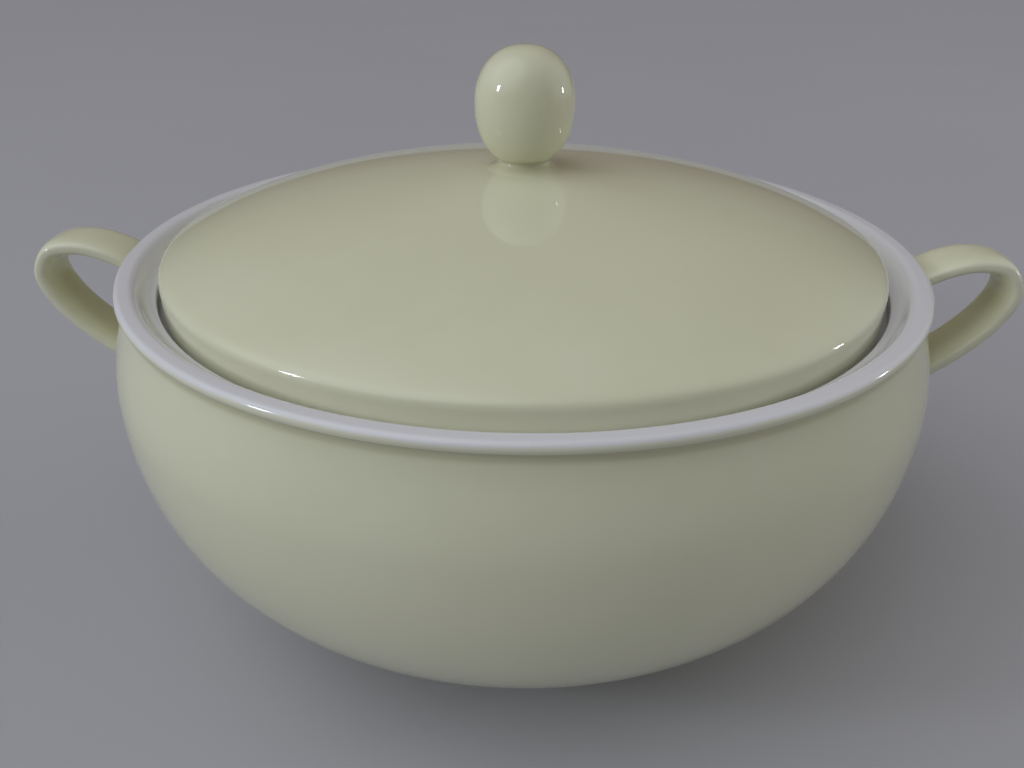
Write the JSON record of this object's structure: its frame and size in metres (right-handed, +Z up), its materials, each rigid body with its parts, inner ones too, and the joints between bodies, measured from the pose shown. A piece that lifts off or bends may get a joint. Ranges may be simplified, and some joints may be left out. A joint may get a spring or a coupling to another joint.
{
  "type": "soup tureen",
  "caption": "Round-bellied covered soup tureen with two strap handles and a lid with a ball knob that lifts off a ledge inside the rim.",
  "frame": {"origin": "centre of the footprint, on the table under the foot ring", "axes": "+X along the line of the two handles, +Z up through the knob"},
  "size_m": [0.3088, 0.2472, 0.1732],
  "materials": {
    "cream_glaze": "cream-yellow gloss glaze outside, white gloss glaze on the lip and inside",
    "handle_glaze": "cream-yellow gloss glaze",
    "lid_glaze": "cream-yellow gloss glaze, white underside"
  },
  "bodies": {
    "bowl_body": {"bowl": "cream_glaze", "handle_left": "handle_glaze", "handle_right": "handle_glaze"},
    "lid_body": {"lid": "lid_glaze", "knob": "lid_glaze"}
  },
  "joints": [
    {"name": "lid_lift", "type": "slide", "parent": "bowl_body", "child": "lid_body", "axis": [0, 0, 1], "range_m": [0, 0.12]}
  ]
}
